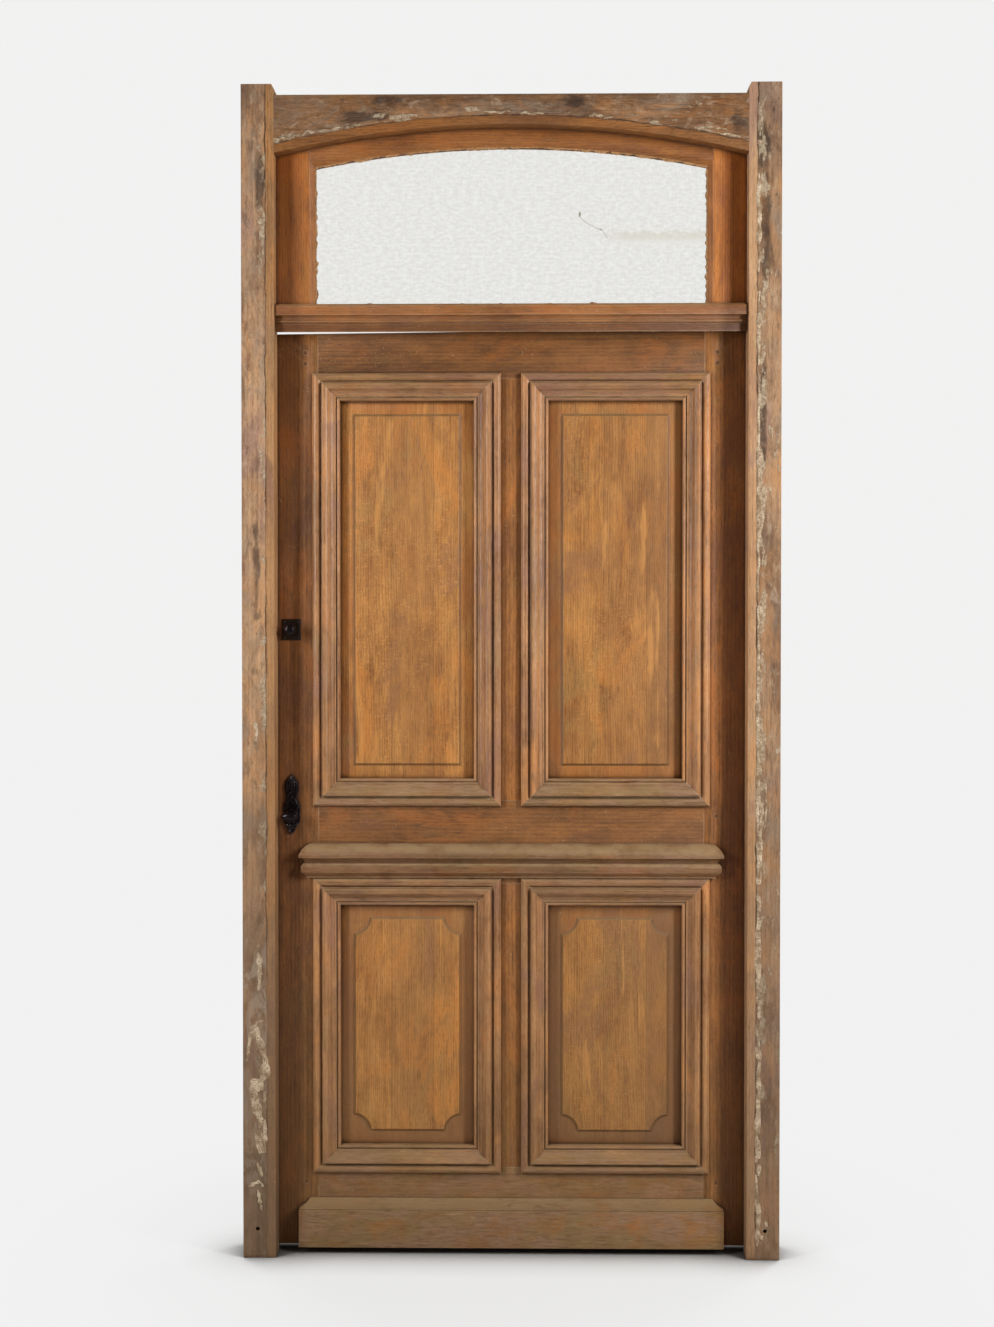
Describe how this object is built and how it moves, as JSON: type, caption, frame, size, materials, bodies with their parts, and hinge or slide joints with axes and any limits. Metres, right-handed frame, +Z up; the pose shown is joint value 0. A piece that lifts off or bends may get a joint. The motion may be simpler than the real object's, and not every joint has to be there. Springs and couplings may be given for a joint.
{
  "type": "arched exterior door in its frame",
  "caption": "Oak entrance door in its frame: arched head, fixed fanlight with obscure glass, and a panelled leaf with bolection mouldings, cap and plinth.",
  "frame": {"origin": "on the floor, under the middle of the width and of the depth", "axes": "+X to the right seen from outside, +Y from the outside to the room, +Z up"},
  "size_m": [1.184, 0.1465, 2.585],
  "materials": {
    "oak_raw": "unfinished oak, weathered, with mortar and stain",
    "oak_sash": "stained oak, worn",
    "oak_stained": "stained and waxed oak, worn",
    "oak_panel": "stained and waxed oak, quarter-sawn",
    "peg_oak": "end grain",
    "glass": "hammered, obscure",
    "iron_black": "dark patina",
    "steel": "aged",
    "brass": "tarnished"
  },
  "bodies": {
    "frame": {"jamb_left": "oak_raw", "jamb_right": "oak_raw", "arched_head": "oak_raw", "transom": "oak_sash", "frame_pegs": "peg_oak", "fanlight_stile_left": "oak_sash", "fanlight_stile_right": "oak_sash", "fanlight_top_rail": "oak_sash", "fanlight_bottom_rail": "oak_sash", "fanlight_glass": "glass", "glazing_bead_left": "oak_sash", "glazing_bead_right": "oak_sash", "glazing_bead_top": "oak_sash", "glazing_bead_bottom": "oak_sash", "hinge_1_frame_half": "steel", "hinge_2_frame_half": "steel", "hinge_3_frame_half": "steel", "hinge_rings": "brass", "latch_keep": "steel", "night_bolt_keep": "steel"},
    "leaf": {"leaf_lock_stile": "oak_stained", "leaf_hinge_stile": "oak_stained", "leaf_bottom_rail": "oak_stained", "leaf_lock_rail": "oak_stained", "leaf_top_rail": "oak_stained", "leaf_lower_muntin": "oak_stained", "leaf_upper_muntin": "oak_stained", "leaf_pegs": "peg_oak", "moulding_upper_left": "oak_stained", "moulding_upper_right": "oak_stained", "moulding_lower_left": "oak_stained", "moulding_lower_right": "oak_stained", "panel_upper_left": "oak_panel", "panel_upper_right": "oak_panel", "panel_lower_left": "oak_panel", "panel_lower_right": "oak_panel", "cap_moulding": "oak_stained", "plinth": "oak_stained", "hinge_1_leaf_half": "steel", "hinge_2_leaf_half": "steel", "hinge_3_leaf_half": "steel", "latch_case": "steel", "night_bolt_case": "steel", "handle_plate_outer": "iron_black", "handle_plate_inner": "iron_black", "knob_plate_outer": "iron_black", "knob_plate_inner": "iron_black"},
    "handle": {"handle_spindle": "iron_black", "olive_handle_outer": "iron_black", "olive_handle_inner": "iron_black", "latch_crank": "steel"},
    "latch": {"latch_tongue": "brass"},
    "knob": {"knob_spindle": "iron_black", "round_knob_outer": "iron_black", "round_knob_inner": "iron_black", "night_bolt_crank": "steel"},
    "night_bolt": {"night_bolt_tongue": "brass"}
  },
  "joints": [
    {"name": "leaf_hinge", "type": "hinge", "parent": "frame", "child": "leaf", "pos_m": [0.5315, 0.03375, 0], "axis": [0, 0, -1], "range_deg": [0, 105]},
    {"name": "handle_turn", "type": "hinge", "parent": "leaf", "child": "handle", "pos_m": [-0.49, 0.00475, 0.976], "axis": [0, 1, 0], "range_deg": [0, 45], "stiffness_Nm_per_rad": 0.5},
    {"name": "latch_slide", "type": "slide", "parent": "leaf", "child": "latch", "axis": [1, 0, 0], "range_m": [0, 0.012]},
    {"name": "knob_turn", "type": "hinge", "parent": "leaf", "child": "knob", "pos_m": [-0.49, 0.00475, 1.39], "axis": [0, -1, 0], "range_deg": [0, 90]},
    {"name": "night_bolt_slide", "type": "slide", "parent": "leaf", "child": "night_bolt", "axis": [-1, 0, 0], "range_m": [0, 0.012]}
  ],
  "couplings": [
    {"joint": "latch_slide", "follows": "handle_turn", "m_per_rad": 0.015279},
    {"joint": "night_bolt_slide", "follows": "knob_turn", "m_per_rad": 0.007639}
  ]
}
